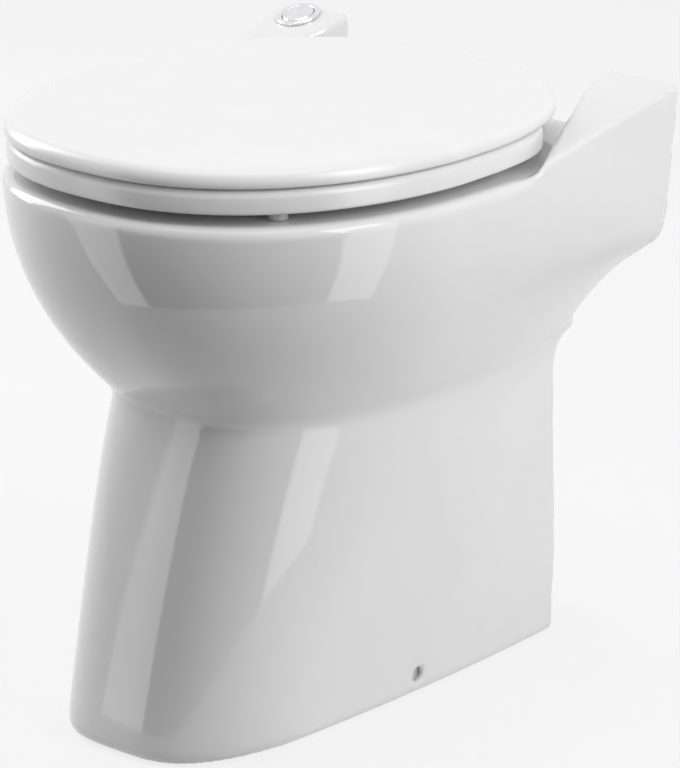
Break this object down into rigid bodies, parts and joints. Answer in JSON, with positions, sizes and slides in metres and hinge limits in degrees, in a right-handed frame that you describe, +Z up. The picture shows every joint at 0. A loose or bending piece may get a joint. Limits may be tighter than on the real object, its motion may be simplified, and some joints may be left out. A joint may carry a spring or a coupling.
{
  "type": "electric marine toilet",
  "caption": "Compact floor-standing china toilet with built-in macerator pump, hinged seat and lid, flush button on a rear shoulder and fixing holes near the floor.",
  "frame": {"origin": "centre of the bounding box at floor level", "axes": "+Z up, -Y towards the sitter's knees (front of the bowl), +X to the right when seen from the front"},
  "size_m": [0.4, 0.43, 0.4624],
  "materials": {
    "china": "glossy white glaze",
    "seat_plastic": "satin gloss white",
    "white_plastic": "matt white",
    "grey_plastic": "matt grey",
    "black_plastic": "matt black",
    "rubber": "black rubber",
    "hose": "grey flexible hose",
    "steel": "stainless",
    "chrome": "polished chrome",
    "painted_metal": "black paint",
    "aluminium": "cast, satin",
    "board": "green board"
  },
  "bodies": {
    "pan": {"button_bezel": "chrome", "button_nut": "white_plastic", "button_spring": "steel", "button_switch": "black_plastic", "cable_gland": "black_plastic", "casing_bolts": "steel", "casing_gaskets": "rubber", "casing_nuts": "steel", "china_pan": "china", "control_board": "board", "control_box": "black_plastic", "control_lid": "black_plastic", "control_screws": "steel", "cutter_chamber": "grey_plastic", "discharge_clamps": "steel", "discharge_elbow": "grey_plastic", "discharge_sleeve": "rubber", "discharge_spigot": "grey_plastic", "flap_pin": "steel", "floor_brackets": "steel", "grinding_basket": "steel", "hinge_bolts": "steel", "hinge_pins": "steel", "hinge_posts": "chrome", "hinge_washers": "rubber", "hinge_wing_nuts": "white_plastic", "motor_bearings": "steel", "motor_can": "painted_metal", "motor_covers": "aluminium", "motor_cradle": "black_plastic", "motor_screws": "steel", "motor_stator": "steel", "non_return_body": "grey_plastic", "non_return_cap": "grey_plastic", "outlet_sleeve": "rubber", "pump_casing": "grey_plastic", "rinse_hose": "hose", "rinse_nozzle": "white_plastic", "rinse_valve_body": "white_plastic", "rinse_valve_coil": "black_plastic", "rubber_pads": "rubber", "seal_plate": "grey_plastic", "shaft_seal": "rubber", "side_screws": "steel", "sleeve_clamps": "steel", "switch_lead": "black_plastic", "valve_bracket": "steel", "water_inlet": "white_plastic"},
    "seat": {"seat_ring": "seat_plastic", "seat_buffers": "rubber"},
    "lid": {"lid": "seat_plastic", "lid_buffers": "rubber"},
    "button": {"button_cap": "chrome"},
    "rotor": {"drive_shaft": "steel", "knife_carrier": "steel", "knives": "steel", "impeller": "black_plastic", "motor_rotor": "steel"},
    "flap": {"non_return_flap": "rubber"},
    "plunger": {"rinse_valve_plunger": "steel"}
  },
  "joints": [
    {"name": "seat_hinge", "type": "hinge", "parent": "pan", "child": "seat", "pos_m": [0, 0.175, 0.43], "axis": [1, 0, 0], "range_deg": [-90, 0]},
    {"name": "lid_hinge", "type": "hinge", "parent": "seat", "child": "lid", "pos_m": [0, 0.175, 0.43], "axis": [-1, 0, 0], "range_deg": [0, 92]},
    {"name": "flush_button_press", "type": "slide", "parent": "pan", "child": "button", "axis": [0, 0.2807, -0.9598], "range_m": [0, 0.003], "stiffness_N_per_m": 400, "springref_m": -0.004, "deforming": ["button_spring"]},
    {"name": "pump_shaft", "type": "hinge", "parent": "pan", "child": "rotor", "pos_m": [0, 0, 0.08], "axis": [0, 1, 0], "continuous": true},
    {"name": "flap_hinge", "type": "hinge", "parent": "pan", "child": "flap", "pos_m": [0, 0.0525, 0.2192], "axis": [1, 0, 0], "range_deg": [0, 70]},
    {"name": "rinse_plunger", "type": "slide", "parent": "pan", "child": "plunger", "axis": [0, 0, 1], "range_m": [0, 0.003], "stiffness_N_per_m": 200, "springref_m": -0.003}
  ]
}
